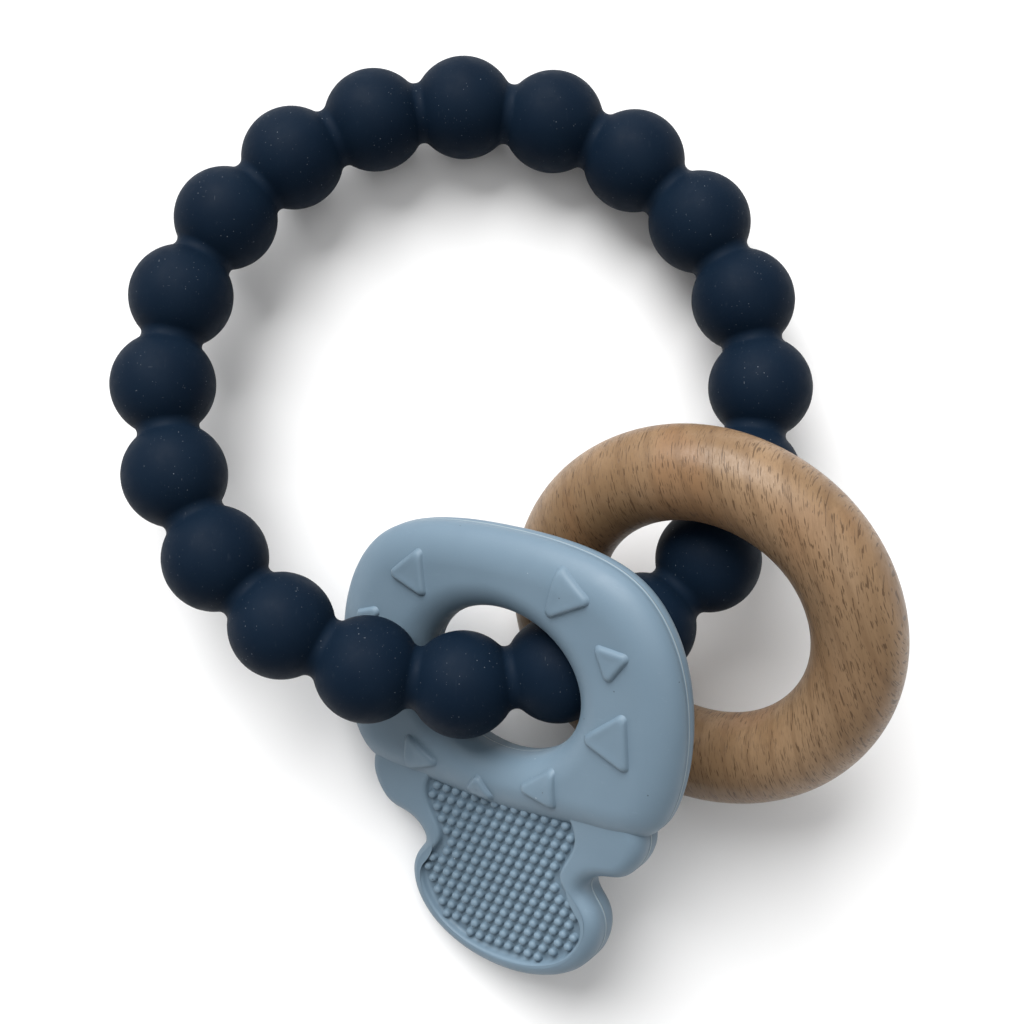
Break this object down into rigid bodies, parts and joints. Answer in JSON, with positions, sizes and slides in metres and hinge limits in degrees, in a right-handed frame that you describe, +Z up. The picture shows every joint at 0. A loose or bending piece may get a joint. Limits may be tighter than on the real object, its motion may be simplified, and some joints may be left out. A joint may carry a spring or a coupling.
{
  "type": "teething ring",
  "caption": "Baby teething ring: a moulded silicone bead loop carrying a round beech wood ring and a mushroom-shaped silicone teether with raised triangles and a nubbed foot.",
  "frame": {"origin": "middle of the bounding box, on the surface that the object lies on", "axes": "+Z up from that surface; +Y along the longest extent, from the mushroom teether's foot towards the far beads; +X towards the beech ring"},
  "size_m": [0.1108, 0.1342, 0.0421],
  "materials": {
    "navy_silicone": "matte moulded silicone",
    "beech": "sanded and lightly oiled, satin",
    "blue_silicone": "matte moulded silicone"
  },
  "bodies": {
    "bead_loop": {"bead_loop": "navy_silicone"},
    "beech_ring": {"beech_ring": "beech"},
    "mushroom_teether": {"mushroom_teether": "blue_silicone"}
  },
  "joints": [
    {"name": "beech_ring_travel", "type": "hinge", "parent": "bead_loop", "child": "beech_ring", "pos_m": [-0.00516, 0.01754, 0.01536], "axis": [0.0184, 0.1836, 0.9828], "range_deg": [0, 255]},
    {"name": "teether_swing", "type": "hinge", "parent": "bead_loop", "child": "mushroom_teether", "pos_m": [0.00157, -0.02361, 0.02211], "axis": [0.1391, -0.9633, -0.2295], "range_deg": [0, 40]}
  ]
}
